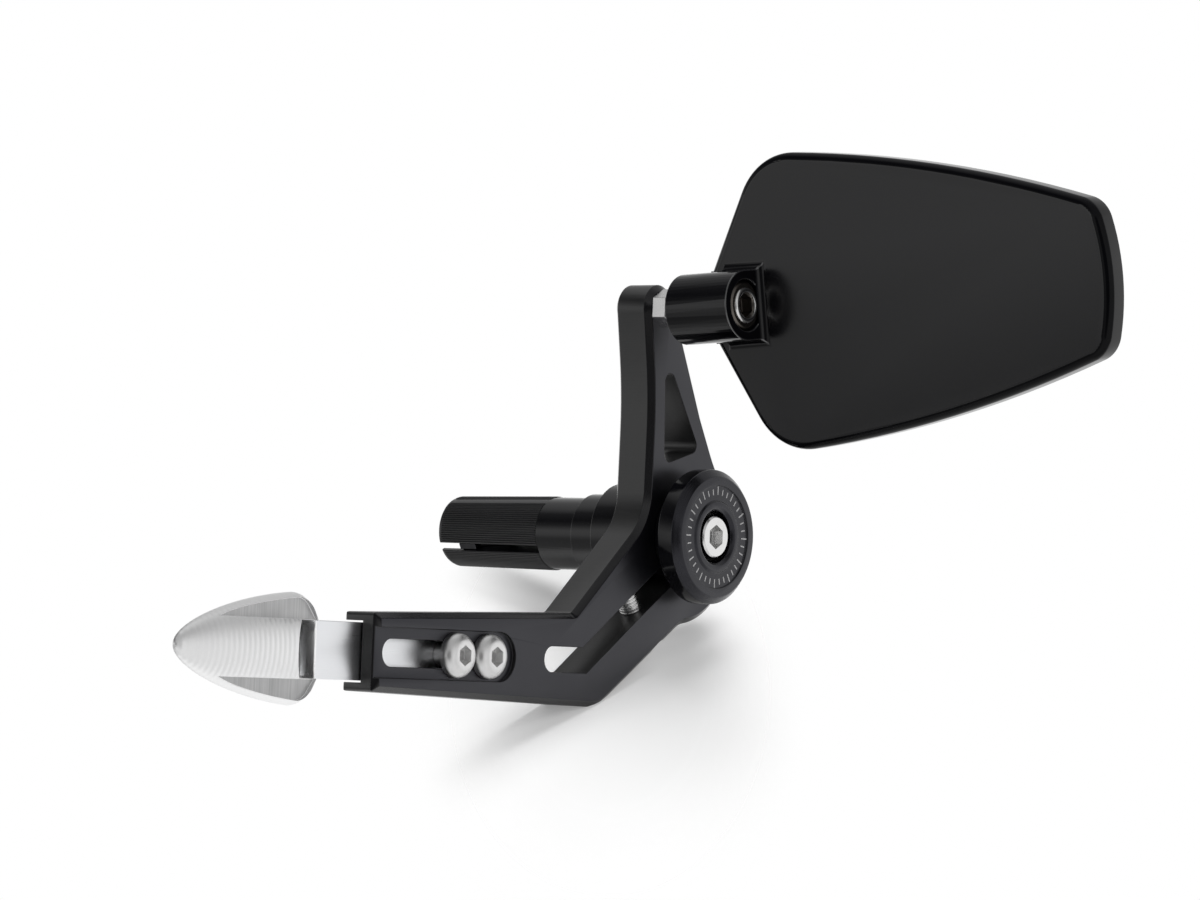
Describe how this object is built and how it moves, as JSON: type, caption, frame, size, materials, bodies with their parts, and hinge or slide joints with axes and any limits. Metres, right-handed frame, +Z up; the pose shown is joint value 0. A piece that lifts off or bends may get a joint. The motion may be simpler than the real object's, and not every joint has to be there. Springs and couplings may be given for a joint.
{
  "type": "lever guard mirror",
  "caption": "Bar-end lever guard for a motorbike: an expanding plug carries a flat clamp arm with a sliding spear tip and a ball-mounted mirror in a tapered shell.",
  "frame": {"origin": "on the handlebar axis, where the bar's end face meets the seat ring", "axes": "+X outboard along the handlebar, -Y forward along the guard arm, +Z up"},
  "size_m": [0.1907, 0.1917, 0.1338],
  "materials": {
    "black_anodised": "satin black anodised",
    "silver_aluminium": "milled, clear anodised",
    "stainless": "bright",
    "zinc_steel": "satin",
    "nylon": "natural",
    "mirror": "polished",
    "pad": "foam"
  },
  "bodies": {
    "mount": {"expander_sleeve": "black_anodised", "seat_ring": "black_anodised", "clamp_spacer": "black_anodised", "hub_weight": "black_anodised", "bolt_washer": "stainless"},
    "bolt": {"expander_bolt": "stainless"},
    "cone": {"expander_cone": "zinc_steel"},
    "arm": {"guard_arm": "black_anodised", "pinch_screw": "stainless", "ball_stud": "stainless", "stud_nut": "stainless"},
    "tip": {"guard_tip": "silver_aluminium", "tip_screw_front": "stainless", "tip_screw_rear": "stainless"},
    "ball_front": {"front_cup": "nylon"},
    "ball_rear": {"rear_cup": "nylon"},
    "mirror": {"mirror_body": "black_anodised", "adjuster_screw": "stainless", "mirror_glass": "mirror", "glass_pad": "pad"}
  },
  "joints": [
    {"name": "bolt_turn", "type": "hinge", "parent": "mount", "child": "bolt", "pos_m": [0.03, 0, 0], "axis": [1, 0, 0], "range_deg": [0, 1080]},
    {"name": "cone_slide", "type": "slide", "parent": "mount", "child": "cone", "axis": [-1, 0, 0], "range_m": [0, 0.0031]},
    {"name": "arm_swing", "type": "hinge", "parent": "mount", "child": "arm", "pos_m": [0.022, 0, 0], "axis": [1, 0, 0], "continuous": true},
    {"name": "tip_slide", "type": "slide", "parent": "arm", "child": "tip", "axis": [0, -1, 0], "range_m": [0, 0.022]},
    {"name": "mirror_turn", "type": "hinge", "parent": "arm", "child": "ball_front", "pos_m": [0.041, -0.0117, 0.0536], "axis": [1, 0, 0], "continuous": true},
    {"name": "mirror_swing", "type": "hinge", "parent": "ball_front", "child": "ball_rear", "pos_m": [0.041, -0.0117, 0.0536], "axis": [0, 0, 1], "range_deg": [-12, 12]},
    {"name": "mirror_dip", "type": "hinge", "parent": "ball_rear", "child": "mirror", "pos_m": [0.041, -0.0117, 0.0536], "axis": [0, 1, 0], "range_deg": [-12, 12]}
  ],
  "couplings": [
    {"joint": "cone_slide", "follows": "bolt_turn", "m_per_rad": 0.00015915}
  ]
}
